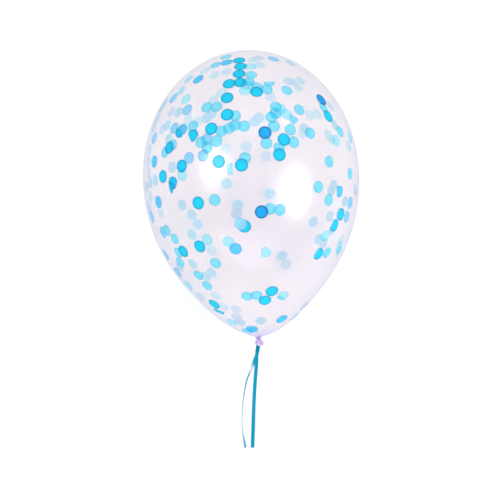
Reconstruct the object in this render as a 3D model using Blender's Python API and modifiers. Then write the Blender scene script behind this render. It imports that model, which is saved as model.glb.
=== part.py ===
"""A clear party balloon, knotted and tied with a ribbon, lying on its side.

The balloon is drawn in a frame of its own, standing neck down: +Z runs up its
axis to the crown, the widest section is at z = 0, and -Y is the side that
faces up once it lies down.  An empty then lays it on its side, neck lowest.
Units are metres.
"""
import math

import bmesh
import bpy
import numpy as np
from mathutils import Matrix, Vector

# Balloon body, measured along the axis from the widest section
BODY_RADIUS = 0.150
CROWN_RISE = 0.175
BODY_DROP = 0.221
# The lower half is an ellipse narrowed by TAPER_SHARE * (distance / drop) ** TAPER_POWER
TAPER_SHARE = 0.33
TAPER_POWER = 2.6

# Neck, pinched above the knot: heights are shares of the length from the body to the knot's middle
NECK_RADIUS = 0.0042
NECK_LENGTH = 0.0045
NECK_OFFSET_X = -0.0012
PINCH_RADIUS = 0.0033
PINCH_SHARE = 0.62
PINCH_SPREAD = 0.3

# Knot: one turn of the neck wound round itself
TURN_RADIUS = 0.0027
TURN_THICKNESS = 0.0042
TURN_TILT = math.radians(-16)

# Tail of the neck beyond the knot, ending in the rolled lip
TAIL_RADIUS = 0.0022
TAIL_BARE_LENGTH = 0.0007
TAIL_DIRECTION = Vector((0.25, -0.88, -0.40)).normalized()
LIP_RADIUS = 0.0046
LIP_ROLL = 0.0018
LIP_FLARE_LENGTH = 0.0018
MOUTH_RADIUS = 0.0018
MOUTH_DEPTH = 0.0016

# Ribbon
RIBBON_WIDTH = 0.005
RIBBON_THICKNESS = 0.0006
GATHERED_SHARE = 0.5
GATHERED_LENGTH = 0.014
LOOP_WIDTH = 0.0016
LOOP_THICKNESS = 0.0010
RIBBON_KNOT_RADIUS = 0.0017
RIBBON_KNOT_LENGTH = 0.0022
RIBBON_KNOT_SIDE = Vector((-0.6, 0, -0.8))

# How it lies
PITCH = math.radians(20)
FLAT_DEPTH = 0.003

# Fits
GAP = 0.0003
LOOP_PLACE = TURN_RADIUS + TURN_THICKNESS / 2 + TAIL_BARE_LENGTH + LOOP_WIDTH / 2
TAIL_LENGTH = LOOP_PLACE + LOOP_WIDTH / 2 + GAP + LIP_FLARE_LENGTH

# Fineness
AROUND = 64
CROWN_ROWS = 18
TAPER_ROWS = 22
SMALL_AROUND = 24
SMALL_SECTION = 12
TAIL_STEP = 0.011
SHARP_ANGLE = math.radians(35)

# Routes of the two ribbon tails on the floor frame: x, y, z and the turn of the flat side in degrees
BROAD_ROUTE = (
    (-0.0029, -0.1924, 0.0769, 0),
    (-0.0047, -0.2038, 0.0687, 0),
    (-0.0063, -0.2151, 0.0583, 0),
    (-0.0089, -0.2304, 0.0416, 0),
    (-0.0114, -0.2482, 0.0226, 0),
    (-0.0135, -0.2675, 0.0085, 0),
    (-0.0150, -0.2850, 0.0021, 0),
    (-0.0161, -0.2980, 0.0007, 0),
    (-0.0169, -0.3080, 0.0004, 0),
    (-0.0175, -0.3163, 0.0004, 0),
)
NARROW_ROUTE = (
    (-0.0019, -0.1928, 0.0781, 0),
    (-0.0055, -0.2041, 0.0698, 0),
    (-0.0099, -0.2119, 0.0629, 6),
    (-0.0152, -0.2212, 0.0535, 52),
    (-0.0203, -0.2303, 0.0433, 64),
    (-0.0249, -0.2434, 0.0290, 64),
    (-0.0285, -0.2597, 0.0150, 64),
    (-0.0303, -0.2775, 0.0061, 64),
    (-0.0302, -0.2939, 0.0031, 64),
    (-0.0287, -0.3067, 0.0026, 64),
    (-0.0275, -0.3162, 0.0026, 64),
)


def clear_scene():
    """Remove every object of the start scene."""
    for old in list(bpy.data.objects):
        bpy.data.objects.remove(old)


def new_collection(name):
    """Return a new collection linked to the scene."""
    group = bpy.data.collections.new(name)
    bpy.context.scene.collection.children.link(group)
    return group


def new_material(name, color, roughness, metallic=0.0, alpha=1.0):
    """Return a plain Principled material."""
    material = bpy.data.materials.new(name)
    material.use_nodes = True
    shader = material.node_tree.nodes["Principled BSDF"]
    shader.inputs["Base Color"].default_value = (*color, 1.0)
    shader.inputs["Roughness"].default_value = roughness
    shader.inputs["Metallic"].default_value = metallic
    shader.inputs["Alpha"].default_value = alpha
    return material


def body_profile(rows_up, rows_down):
    """Return (radius, z) pairs of the blown body, from the crown down.

    The upper half is a quarter of an ellipse.  The lower half is a quarter of
    a longer one, narrowed more and more towards the neck.
    """
    rising = np.linspace(math.pi / 2, 0, rows_up)
    falling = np.linspace(0, math.pi / 2, rows_down)[1:]
    share = np.sin(falling)
    upper = np.column_stack((BODY_RADIUS * np.cos(rising), CROWN_RISE * np.sin(rising)))
    narrowing = 1 - TAPER_SHARE * share**TAPER_POWER
    lower = np.column_stack((BODY_RADIUS * np.cos(falling) * narrowing, -BODY_DROP * share))
    return np.vstack((upper, lower))


def lying_place():
    """Return the widest section's centre once the balloon lies on its flat spot."""
    fine = 2000
    radius, z = body_profile(fine, fine).T
    below_axis = radius * math.cos(PITCH) - z * math.sin(PITCH)
    lowest = int(np.argmax(below_axis))
    along_floor = z[lowest] * math.cos(PITCH) + radius[lowest] * math.sin(PITCH)
    return Vector((0, -along_floor, below_axis[lowest] - FLAT_DEPTH))


def balloon_axis_empty(group):
    """Return the empty that carries the balloon's own frame onto the floor."""
    empty = bpy.data.objects.new("balloon_axis", None)
    group.objects.link(empty)
    empty.location = lying_place()
    empty.rotation_euler = (PITCH - math.pi / 2, 0, 0)
    return empty


def turned_object(name, profile, steps, group, parent):
    """Return an object turned about its own Z from (radius, z) pairs given top to bottom."""
    mesh = bpy.data.meshes.new(name)
    points = [(radius, 0, z) for radius, z in profile]
    edges = [(i, i + 1) for i in range(len(points) - 1)]
    mesh.from_pydata(points, edges, [])
    turned = bpy.data.objects.new(name, mesh)
    group.objects.link(turned)
    turned.parent = parent
    screw = turned.modifiers.new("turn", "SCREW")
    screw.steps = steps
    screw.render_steps = steps
    screw.use_merge_vertices = True
    screw.merge_threshold = 0.00001
    screw.use_smooth_shade = True
    return turned


def combine(target, other, operation):
    """Join or cut one object with another by an exact Boolean, and show the other as wire."""
    step = target.modifiers.new(f"{operation.lower()}_{other.name}", "BOOLEAN")
    step.operation = operation
    step.solver = "EXACT"
    step.object = other
    other.hide_render = True
    other.display_type = "WIRE"


def settle(thing):
    """Replace an object's modifiers by their result, smooth but for its sharp edges."""
    graph = bpy.context.evaluated_depsgraph_get()
    mesh = bpy.data.meshes.new_from_object(thing.evaluated_get(graph))
    mesh.shade_smooth()
    mesh.set_sharp_from_angle(angle=SHARP_ANGLE)
    thing.modifiers.clear()
    thing.data = mesh


def knot_centre():
    """Return the middle of the knot in the balloon's own frame."""
    return Vector((NECK_OFFSET_X, 0, -BODY_DROP - NECK_LENGTH))


def tail_frame(distance):
    """Return the frame at a distance along the latex tail: its Z runs out along the tail."""
    turn = TAIL_DIRECTION.to_track_quat("Z", "Y").to_matrix().to_4x4()
    return Matrix.Translation(knot_centre() + TAIL_DIRECTION * distance) @ turn


def neck_shape(group, parent):
    """Return the short neck: a tube pinched where the knot grips it."""
    top = NECK_LENGTH + NECK_RADIUS
    profile = (
        (0, top),
        (NECK_RADIUS, top),
        (NECK_RADIUS, NECK_LENGTH * (PINCH_SHARE + PINCH_SPREAD)),
        (PINCH_RADIUS, NECK_LENGTH * PINCH_SHARE),
        (NECK_RADIUS, NECK_LENGTH * (PINCH_SHARE - PINCH_SPREAD)),
        (NECK_RADIUS, -TURN_THICKNESS / 2),
        (0, -TURN_THICKNESS / 2),
    )
    neck = turned_object("neck_shape", profile, SMALL_AROUND, group, parent)
    neck.location = knot_centre()
    return neck


def knot_turn_shape(group, parent):
    """Return the turn of the neck wound round itself, a slanted ring."""
    bpy.ops.mesh.primitive_torus_add(
        major_radius=TURN_RADIUS,
        minor_radius=TURN_THICKNESS / 2,
        major_segments=SMALL_AROUND,
        minor_segments=SMALL_SECTION,
    )
    ring = bpy.context.object
    ring.name = "knot_turn_shape"
    move_to(ring, group)
    ring.parent = parent
    ring.location = knot_centre()
    ring.rotation_euler = (0, TURN_TILT, 0)
    return ring


def move_to(thing, group):
    """Leave one collection only holding the object."""
    for holder in list(thing.users_collection):
        holder.objects.unlink(thing)
    group.objects.link(thing)


def lip_shape(group, parent):
    """Return the latex tail with its flare, rolled lip and shallow mouth."""
    roll = LIP_ROLL / 2
    ring = LIP_RADIUS - roll
    flare_start = TAIL_LENGTH - LIP_FLARE_LENGTH
    bead = [
        (ring + roll * math.sin(angle), TAIL_LENGTH + roll * math.cos(angle))
        for angle in np.linspace(math.radians(-60), math.radians(150), SMALL_SECTION)
    ]
    profile = [
        (0, TAIL_LENGTH - MOUTH_DEPTH),
        (MOUTH_RADIUS, TAIL_LENGTH - MOUTH_DEPTH),
        *bead,
        (TAIL_RADIUS, flare_start),
        (TAIL_RADIUS, 0),
        (0, 0),
    ]
    lip = turned_object("lip_shape", profile, SMALL_AROUND, group, parent)
    lip.matrix_local = tail_frame(0)
    return lip


def floor_cutter(group):
    """Return the block that cuts the flat spot at z = 0."""
    reach = BODY_RADIUS * 2
    mesh = bpy.data.meshes.new("floor_cutter")
    block = bmesh.new()
    bmesh.ops.create_cube(block, size=reach)
    bmesh.ops.translate(block, vec=(0, 0, -reach / 2), verts=block.verts)
    block.to_mesh(mesh)
    block.free()
    cutter = bpy.data.objects.new("floor_cutter", mesh)
    group.objects.link(cutter)
    return cutter


def make_balloon(parts, cutters, empty):
    """Make the latex balloon: body, neck, knot and lip as one solid, cut flat below."""
    balloon = turned_object("latex_balloon", body_profile(CROWN_ROWS, TAPER_ROWS), AROUND, parts, empty)
    combine(balloon, neck_shape(cutters, empty), "UNION")
    combine(balloon, knot_turn_shape(cutters, empty), "UNION")
    combine(balloon, lip_shape(cutters, empty), "UNION")
    combine(balloon, floor_cutter(cutters), "DIFFERENCE")
    balloon.data.materials.append(new_material("clear_latex", (0.95, 0.92, 0.97), 0.1, alpha=0.35))
    settle(balloon)


def ribbon_knot_centre():
    """Return the middle of the ribbon's own small knot, under the loop."""
    side = RIBBON_KNOT_SIDE - TAIL_DIRECTION * RIBBON_KNOT_SIDE.dot(TAIL_DIRECTION)
    return tail_frame(LOOP_PLACE).translation + side.normalized() * (TAIL_RADIUS + GAP + RIBBON_KNOT_RADIUS)


def ribbon_knot_shape(group, parent):
    """Return the ribbon's own knot, a small long lump."""
    mesh = bpy.data.meshes.new("ribbon_knot_shape")
    lump = bmesh.new()
    bmesh.ops.create_uvsphere(lump, u_segments=SMALL_SECTION, v_segments=SMALL_SECTION // 2, radius=1)
    bmesh.ops.scale(lump, vec=(RIBBON_KNOT_LENGTH, RIBBON_KNOT_RADIUS, RIBBON_KNOT_RADIUS), verts=lump.verts)
    lump.to_mesh(mesh)
    lump.free()
    knot = bpy.data.objects.new("ribbon_knot_shape", mesh)
    group.objects.link(knot)
    knot.parent = parent
    knot.location = ribbon_knot_centre()
    return knot


def make_ribbon_tie(parts, cutters, empty, color):
    """Make the loop of ribbon round the latex tail, with its small knot below."""
    inner = TAIL_RADIUS + GAP
    outer = inner + LOOP_THICKNESS
    middle = (inner + outer) / 2
    half = LOOP_WIDTH / 2
    section = (
        (middle, half),
        (outer, half / 2),
        (outer, -half / 2),
        (middle, -half),
        (inner, -half / 2),
        (inner, half / 2),
        (middle, half),
    )
    tie = turned_object("ribbon_tie", section, SMALL_AROUND, parts, empty)
    tie.matrix_local = tail_frame(LOOP_PLACE)
    combine(tie, ribbon_knot_shape(cutters, empty), "UNION")
    tie.data.materials.append(color)
    settle(tie)


def smooth_route(points, spacing):
    """Return points read at even steps from a smooth curve through the route's points.

    The curve is a cubic between each pair of points, with each point's slope
    taken from its two neighbours.  The last column is the run from the start.
    """
    points = np.array(points)
    slopes = np.gradient(points, axis=0)
    step = np.linspace(0, 1, 40, endpoint=False)[:, None]
    pieces = []
    for start, end, slope_in, slope_out in zip(points, points[1:], slopes, slopes[1:]):
        pieces.append(
            (2 * step**3 - 3 * step**2 + 1) * start
            + (step**3 - 2 * step**2 + step) * slope_in
            + (3 * step**2 - 2 * step**3) * end
            + (step**3 - step**2) * slope_out
        )
    dense = np.vstack((*pieces, points[-1:]))
    run = np.concatenate(([0], np.cumsum(np.linalg.norm(np.diff(dense[:, :3], axis=0), axis=1))))
    places = np.linspace(0, run[-1], max(2, round(run[-1] / spacing)) + 1)
    columns = [np.interp(places, run, column) for column in dense.T]
    return np.column_stack((*columns, places))


def make_tail(name, route, group, color):
    """Make one ribbon tail: a flat band along its route, gathered narrow at the tie."""
    curve = bpy.data.curves.new(name, "CURVE")
    curve.dimensions = "3D"
    curve.twist_mode = "Z_UP"
    curve.use_fill_caps = True
    curve.bevel_depth = RIBBON_THICKNESS / 2
    curve.bevel_resolution = 2
    curve.extrude = (RIBBON_WIDTH - RIBBON_THICKNESS) / 2
    points = smooth_route(route, TAIL_STEP)
    line = curve.splines.new("POLY")
    line.points.add(len(points) - 1)
    for place, (x, y, z, turn, run) in zip(line.points, points):
        place.co = (x, y, z, 1)
        place.tilt = math.radians(90 + turn)
        place.radius = GATHERED_SHARE + (1 - GATHERED_SHARE) * min(1, run / GATHERED_LENGTH)
    curve.materials.append(color)
    group.objects.link(bpy.data.objects.new(name, curve))


def main():
    clear_scene()
    parts = new_collection("confetti_balloon")
    cutters = new_collection("cutters")
    empty = balloon_axis_empty(parts)
    make_balloon(parts, cutters, empty)
    turquoise = new_material("turquoise_ribbon", (0.0, 0.36, 0.56), 0.3)
    make_ribbon_tie(parts, cutters, empty, turquoise)
    make_tail("ribbon_tail_broad", BROAD_ROUTE, parts, turquoise)
    make_tail("ribbon_tail_narrow", NARROW_ROUTE, parts, turquoise)


main()
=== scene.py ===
# %% [markdown]
# # A confetti balloon lying on its side
# A clear latex balloon has paper discs clinging to the inside of its film.  Its neck is knotted, and a
# ribbon is tied round the latex just beyond the knot.  The CAD gives the outline, the place on the
# floor and the routes of the two ribbon tails.  Here each piece gets its real surface and its finish.
# All lengths are in metres.

import math

import bpy
import numpy as np
from mathutils import Matrix


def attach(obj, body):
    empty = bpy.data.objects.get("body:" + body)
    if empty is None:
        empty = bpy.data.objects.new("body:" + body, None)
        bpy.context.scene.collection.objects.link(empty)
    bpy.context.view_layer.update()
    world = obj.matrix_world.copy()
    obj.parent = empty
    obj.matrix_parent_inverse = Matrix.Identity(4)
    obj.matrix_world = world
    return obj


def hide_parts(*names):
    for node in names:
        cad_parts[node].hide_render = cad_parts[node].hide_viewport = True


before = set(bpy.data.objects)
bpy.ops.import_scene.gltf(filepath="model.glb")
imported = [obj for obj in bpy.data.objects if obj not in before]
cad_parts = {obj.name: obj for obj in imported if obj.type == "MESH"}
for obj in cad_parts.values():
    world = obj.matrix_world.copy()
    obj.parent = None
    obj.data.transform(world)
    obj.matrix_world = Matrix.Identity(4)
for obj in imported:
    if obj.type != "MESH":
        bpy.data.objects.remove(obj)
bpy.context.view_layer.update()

# %% [markdown]
# ## The balloon's own frame
# It is easier to draw a balloon standing up than lying down: its axis is then the z axis, and every
# section is a circle round it.  So the balloon's own frame has +z up the axis to the crown, z = 0 at
# the widest section, and -y on the side that faces up once it lies on its belly.  One function then
# lays all points down together, with the neck a little lower than the crown.

# %% The body's outline
BODY_RADIUS = 0.150
CROWN_RISE = 0.175
BODY_DROP = 0.221
TAPER_SHARE = 0.33
TAPER_POWER = 2.6


def body_outline(rows_up, rows_down):
    """Radius and height of the blown body, from the crown down to the neck.

    Above the widest section it is a quarter of an ellipse: radius R cos(a), height RISE sin(a).
    Below it is a quarter of a longer one, narrowed by 1 - SHARE * (height / drop) ** POWER.
    """
    rising = np.linspace(math.pi / 2, 0, rows_up)
    falling = np.linspace(0, math.pi / 2, rows_down)[1:]
    share = np.sin(falling)
    narrowing = 1 - TAPER_SHARE * share**TAPER_POWER
    radius = np.concatenate((BODY_RADIUS * np.cos(rising), BODY_RADIUS * np.cos(falling) * narrowing))
    height = np.concatenate((CROWN_RISE * np.sin(rising), -BODY_DROP * share))
    return radius, height


# %% Lay the balloon down
PITCH = math.radians(20)
FLAT_DEPTH = 0.003
FINE_ROWS = 2000

fine_radius, fine_height = body_outline(FINE_ROWS, FINE_ROWS)
below_axis = fine_radius * math.cos(PITCH) - fine_height * math.sin(PITCH)
lowest = int(np.argmax(below_axis))
along_floor = fine_height[lowest] * math.cos(PITCH) + fine_radius[lowest] * math.sin(PITCH)
WIDEST_PLACE = np.array((0, -along_floor, below_axis[lowest] - FLAT_DEPTH))


def turned_down(vectors):
    """Own-frame directions on the floor: x stays, z points along (0, cos p, sin p), -y points up."""
    x, y, z = np.moveaxis(np.asarray(vectors, float), -1, 0)
    along = y * math.sin(PITCH) + z * math.cos(PITCH)
    up = -y * math.cos(PITCH) + z * math.sin(PITCH)
    return np.stack((x, along, up), axis=-1)


def laid_down(points):
    """Own-frame points on the floor: turned down, then moved to the widest section's place."""
    return turned_down(points) + WIDEST_PLACE


def stood_up(points):
    """Floor-frame points back in the balloon's own frame, the reverse of laid_down."""
    x, along, up = np.moveaxis(np.asarray(points, float) - WIDEST_PLACE, -1, 0)
    y = along * math.sin(PITCH) - up * math.cos(PITCH)
    z = along * math.cos(PITCH) + up * math.sin(PITCH)
    return np.stack((x, y, z), axis=-1)


print("widest section's centre", WIDEST_PLACE.round(4))

# %% [markdown]
# ## Camera
# The photograph looks straight at the side of a hanging balloon.  The balloon lies down here, so the
# camera looks down on it, square to its axis.  The lens is long, because a short one would swell the
# middle of the body.

# %% Set the camera
PICTURE_SIDE = 0.68953
CAMERA_DISTANCE = 2.2
CAMERA_HEIGHT_ANGLE = math.radians(70)
CAMERA_ROLL = math.radians(3)
PICTURE_CENTRE = np.array((-0.00670, -0.06605, 0.11829))
SENSOR_WIDTH = 36


def new_object(name, data):
    """A new object in the scene."""
    made = bpy.data.objects.new(name, data)
    bpy.context.scene.collection.objects.link(made)
    return made


def set_down(thing, axes, place):
    """Give an object its place and the directions of its x, y and z axes."""
    matrix = np.eye(4)
    matrix[:3, :3] = np.column_stack(axes)
    matrix[:3, 3] = place
    thing.matrix_world = Matrix(matrix.tolist())


back = np.array((0, -math.cos(CAMERA_HEIGHT_ANGLE), math.sin(CAMERA_HEIGHT_ANGLE)))
level_right = np.array((1, 0, 0))
level_up = np.cross(back, level_right)
right = level_right * math.cos(CAMERA_ROLL) - level_up * math.sin(CAMERA_ROLL)
up = level_right * math.sin(CAMERA_ROLL) + level_up * math.cos(CAMERA_ROLL)

CAMERA_PLACE = PICTURE_CENTRE + back * CAMERA_DISTANCE
camera = new_object("camera", bpy.data.cameras.new("camera"))
set_down(camera, (right, up, back), CAMERA_PLACE)
camera.data.sensor_width = SENSOR_WIDTH
camera.data.lens = SENSOR_WIDTH * CAMERA_DISTANCE / PICTURE_SIDE
bpy.context.scene.camera = camera
print("lens", round(camera.data.lens, 1), "mm, camera at", CAMERA_PLACE.round(3))

# %% [markdown]
# ## Floor and light
# A glossy film mirrors the lights as bright spots, so their places are read from the photograph: a
# large oval lamp on the right, a smaller one high on the left, a small lamp beyond the crown, and a
# broad dim one low down on the neck's side.  The large spots have soft edges, so each has a wider,
# dimmer glow round it.  A pale room fills the rest.
# The photograph shows no shadow under the thin film and the ribbon, so here they cast none either.

# %% Make the floor
FLOOR_HALF = 4.0

bpy.context.scene.view_settings.view_transform = "Standard"
bpy.context.scene.cycles.transparent_max_bounces = 32


def plain_material(name, color, roughness):
    """A new Principled material, its shader node and its node tree."""
    material = bpy.data.materials.new(name)
    material.use_nodes = True
    shader = material.node_tree.nodes["Principled BSDF"]
    shader.inputs["Base Color"].default_value = (*color, 1)
    shader.inputs["Roughness"].default_value = roughness
    return material, shader, material.node_tree


floor_mesh = bpy.data.meshes.new("floor")
corners = [(x * FLOOR_HALF, y * FLOOR_HALF, 0) for x, y in ((-1, -1), (1, -1), (1, 1), (-1, 1))]
floor_mesh.from_pydata(corners, [], [(0, 1, 2, 3)])
floor = new_object("floor", floor_mesh)
floor_mesh.materials.append(plain_material("pale_floor", (0.95, 0.945, 0.94), 0.7)[0])
print("floor", 2 * FLOOR_HALF, "m across")

# %% Set the lights
ROOM_BRIGHTNESS = 0.90
LIGHT_DISTANCE = 1.6


def unit(vectors):
    """Vectors scaled to length 1."""
    return vectors / np.linalg.norm(vectors, axis=-1, keepdims=True)


room = bpy.data.worlds.new("pale_room")
room.use_nodes = True
room.node_tree.nodes["Background"].inputs["Color"].default_value = (1, 1, 1, 1)
room.node_tree.nodes["Background"].inputs["Strength"].default_value = ROOM_BRIGHTNESS
bpy.context.scene.world = room

# Each lamp has the way to it, the way its top points, its width and height, and its brightness.
LAMPS = {
    "right": ((0.716, -0.394, 0.577), (0.07, 0.87, 0.49), 0.84, 0.90, 3.6),
    "right_glow": ((0.706, -0.394, 0.588), (0.07, 0.87, 0.49), 1.10, 1.08, 0.25),
    "left": ((-0.559, -0.119, 0.821), (0.09, 0.97, 0.24), 0.70, 0.54, 3.6),
    "left_glow": ((-0.567, -0.130, 0.814), (0.08, 0.96, 0.27), 0.90, 0.72, 0.3),
    "low": ((-0.079, -0.941, 0.330), (0.07, 0.33, 0.94), 1.31, 0.55, 0.9),
    "low_glow": ((-0.079, -0.941, 0.330), (0.07, 0.33, 0.94), 1.90, 0.85, 0.4),
    "small": ((0.559, 0.373, 0.740), (-0.05, 0.91, -0.42), 0.10, 0.15, 7.0),
}


def oval_lamp(name, toward, upward, width, height, brightness):
    """A flat oval lamp LIGHT_DISTANCE away in the direction toward, its face turned to the balloon.

    A flat lamp of area A that sends out P watts looks as bright as P / (pi A), and an oval's area is
    pi / 4 * width * height.
    """
    z = unit(np.array(toward))
    x = unit(np.cross(upward, z))
    data = bpy.data.lights.new(name, "AREA")
    data.shape = "ELLIPSE"
    data.size = width
    data.size_y = height
    data.energy = brightness * math.pi * (math.pi / 4 * width * height)
    set_down(new_object(name, data), (x, np.cross(z, x), z), WIDEST_PLACE + z * LIGHT_DISTANCE)


for name, values in LAMPS.items():
    oval_lamp(name, *values)

# %% [markdown]
# ## Surfaces from grids
# Most pieces are grids of points: rows run along the piece, and columns run round it.  These helpers
# turn such a grid into a closed mesh that faces outwards.

# %% Helpers for grids
SHARP_ANGLE = math.radians(50)


def full_turn(steps):
    """Angles of a full turn at even steps."""
    return np.linspace(0, 2 * math.pi, steps, endpoint=False)


def grid_of(*parts):
    """A grid from parts that vary by row, by column or by both.  Each place holds one of each part."""
    return np.stack(np.broadcast_arrays(*parts), axis=-1)


def round_axis(radius, turn, height):
    """Own-frame points at a radius, a turn and a height: (r sin(turn), -r cos(turn), height)."""
    return grid_of(radius * np.sin(turn), -radius * np.cos(turn), height)


def grid_faces(rows, columns, ring_of_rows=False):
    """Four-cornered faces of a grid that closes round its columns, and along its rows if asked."""
    i = np.arange(rows if ring_of_rows else rows - 1)[:, None]
    j = np.arange(columns)[None, :]
    below, beside = (i + 1) % rows, (j + 1) % columns
    corners = grid_of(i * columns + j, i * columns + beside, below * columns + beside, below * columns + j)
    return corners.reshape(-1, 4)


def closed_surface(rings, uv=None, ring_of_rows=False):
    """Points, faces and UV of a closed skin over rings of points, each end shut with a fan.

    rings has the shape (rows, columns, 3).  A fan's middle is the mean of its end ring.
    """
    rows, columns = rings.shape[:2]
    points = rings.reshape(-1, 3)
    uv = np.zeros((rows, columns, 2)) if uv is None else uv
    flat_uv = uv.reshape(-1, 2)
    faces = grid_faces(rows, columns, ring_of_rows).tolist()
    if not ring_of_rows:
        first, last = len(points), len(points) + 1
        start = (rows - 1) * columns
        j = np.arange(columns)
        beside = (j + 1) % columns
        faces += np.column_stack((np.full(columns, first), beside, j)).tolist()
        faces += np.column_stack((np.full(columns, last), start + j, start + beside)).tolist()
        points = np.vstack((points, rings[0].mean(axis=0), rings[-1].mean(axis=0)))
        flat_uv = np.vstack((flat_uv, uv[0].mean(axis=0), uv[-1].mean(axis=0)))
    return points, faces, flat_uv


def volume_inside(points, faces):
    """Signed volume in a closed skin: the sum of a . (b x c) / 6 over the triangles of its faces."""
    triangles = np.array([(f[0], f[i], f[i + 1]) for f in faces for i in range(1, len(f) - 1)])
    a, b, c = (points[triangles[:, k]] for k in range(3))
    return float(np.einsum("ij,ij->", a, np.cross(b, c)) / 6)


def new_piece(name, skins, material):
    """A shown object from closed skins in floor coordinates, each turned to face outwards."""
    faces, count = [], 0
    for skin_points, skin_faces, _ in skins:
        order = -1 if volume_inside(skin_points, skin_faces) < 0 else 1
        faces += [[corner + count for corner in face[::order]] for face in skin_faces]
        count += len(skin_points)
    points = np.vstack([skin[0] for skin in skins])
    uv = np.vstack([skin[2] for skin in skins])
    mesh = bpy.data.meshes.new(name)
    mesh.from_pydata(points.tolist(), [], faces)
    mesh.shade_smooth()
    mesh.set_sharp_from_angle(angle=SHARP_ANGLE)
    corner_points = np.empty(len(mesh.loops), dtype=np.int32)
    mesh.loops.foreach_get("vertex_index", corner_points)
    layer = mesh.uv_layers.new(name="along")
    layer.data.foreach_set("uv", uv[corner_points].astype(np.float32).ravel())
    mesh.materials.append(material)
    piece = new_object(name, mesh)
    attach(piece, "root")
    print(name, len(points), "points", len(faces), "faces")
    return piece


def skin_values(values):
    """Values on a grid as one value for each point of its closed skin, with its two fan middles."""
    return np.append(values.ravel(), (values[0].mean(), values[-1].mean()))


def kept_on_points(piece, name, values):
    """Keep one value for each point of a piece under a name that its finish can read."""
    layer = piece.data.attributes.new(name, "FLOAT", "POINT")
    layer.data.foreach_set("value", np.asarray(values, np.float32))


# %% Helpers for paths
STEPS_BETWEEN_POINTS = 40


def carried(path, lean, across, away, ring_of_rows=False):
    """Rings of points: a flat section carried along a path.

    At each point the section's plane is square to the path.  Its second axis is lean made square to
    the path, and its first axis is square to both.  across and away are distances on those axes, with
    a column for each point of the section.
    """
    if ring_of_rows:
        along = unit(np.roll(path, -1, axis=0) - np.roll(path, 1, axis=0))
    else:
        along = unit(np.gradient(path, axis=0))
    lean = np.broadcast_to(lean, path.shape)
    second = unit(lean - along * np.sum(lean * along, axis=1, keepdims=True))
    first = np.cross(along, second)
    return path[:, None] + across[..., None] * first[:, None] + away[..., None] * second[:, None]


def smooth_route(points, spacing):
    """Points read at even steps from a smooth curve through a route, with the run in the last column.

    The curve is a cubic between each pair of points, with each point's slope taken from its two
    neighbours, as in the part's source.
    """
    points = np.array(points)
    slopes = np.gradient(points, axis=0)
    step = np.linspace(0, 1, STEPS_BETWEEN_POINTS, endpoint=False)[:, None]
    pieces = []
    for start, end, slope_in, slope_out in zip(points, points[1:], slopes, slopes[1:]):
        pieces.append(
            (2 * step**3 - 3 * step**2 + 1) * start
            + (step**3 - 2 * step**2 + step) * slope_in
            + (3 * step**2 - 2 * step**3) * end
            + (step**3 - step**2) * slope_out
        )
    dense = np.vstack((*pieces, points[-1:]))
    run = np.concatenate(([0], np.cumsum(np.linalg.norm(np.diff(dense[:, :3], axis=0), axis=1))))
    places = np.linspace(0, run[-1], max(2, round(run[-1] / spacing)) + 1)
    return np.column_stack([np.interp(places, run, column) for column in dense.T] + [places])


# %% [markdown]
# ## Finishes
# Each finish is one Principled shader with nodes that vary its colour, roughness and surface.  What
# several finishes share is a node group: fine grain, the fibres of tissue paper, and the fine lines
# that ridges leave in drawn ribbon.  The groups give out colours and heights, and the shader, with the
# numbers that are the same all over, stays in each material.

# %% Helpers for nodes
def added(tree, kind, settings=None, **inputs):
    """A new node.  settings are its own choices; inputs are values, or sockets to link, by name."""
    made = tree.nodes.new(kind)
    for name, value in (settings or {}).items():
        setattr(made, name, value)
    for name, value in inputs.items():
        joined_to(tree, made.inputs[name.replace("_", " ")], value)
    return made


def joined_to(tree, socket, value):
    """Link a socket to another one, or give it a plain value."""
    if isinstance(value, bpy.types.NodeSocket):
        tree.links.new(value, socket)
    else:
        socket.default_value = value


def counted(tree, operation, *values):
    """The result of a Math node."""
    made = tree.nodes.new("ShaderNodeMath")
    made.operation = operation
    for socket, value in zip(made.inputs, values):
        joined_to(tree, socket, value)
    return made.outputs["Value"]


def blended(tree, share, first, second):
    """The result of a colour mix: first where share is 0, second where it is 1."""
    made = tree.nodes.new("ShaderNodeMix")
    made.data_type = "RGBA"
    colours = [socket for socket in made.inputs if socket.type == "RGBA"]
    joined_to(tree, made.inputs[0], share)
    joined_to(tree, colours[0], first)
    joined_to(tree, colours[1], second)
    return next(socket for socket in made.outputs if socket.type == "RGBA")


def new_group(name, inputs, outputs):
    """An empty shader node group with its sockets, and its input and output nodes."""
    group = bpy.data.node_groups.new(name, "ShaderNodeTree")
    kinds = {"value": "NodeSocketFloat", "colour": "NodeSocketColor", "vector": "NodeSocketVector"}
    for socket_name, kind in inputs:
        group.interface.new_socket(name=socket_name, in_out="INPUT", socket_type=kinds[kind])
    for socket_name, kind in outputs:
        group.interface.new_socket(name=socket_name, in_out="OUTPUT", socket_type=kinds[kind])
    return group, group.nodes.new("NodeGroupInput").outputs, group.nodes.new("NodeGroupOutput").inputs


def placed(tree, group, **inputs):
    """A node group placed in a material, with its inputs set or linked."""
    made = added(tree, "ShaderNodeGroup", {"node_tree": group}, **inputs)
    return made.outputs


def noise(tree, place, scale, detail, distortion=0.0):
    """The grey value of a Noise texture."""
    made = added(tree, "ShaderNodeTexNoise", Vector=place, Scale=scale, Detail=detail, Distortion=distortion)
    return made.outputs["Fac"]


def spread(tree, value, low, high, at_low=0.0, at_high=1.0):
    """A value brought from the range low to high to the range at_low to at_high, and kept in it."""
    made = added(tree, "ShaderNodeMapRange", Value=value, From_Min=low, From_Max=high, To_Min=at_low,
                 To_Max=at_high)
    return made.outputs["Result"]


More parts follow.
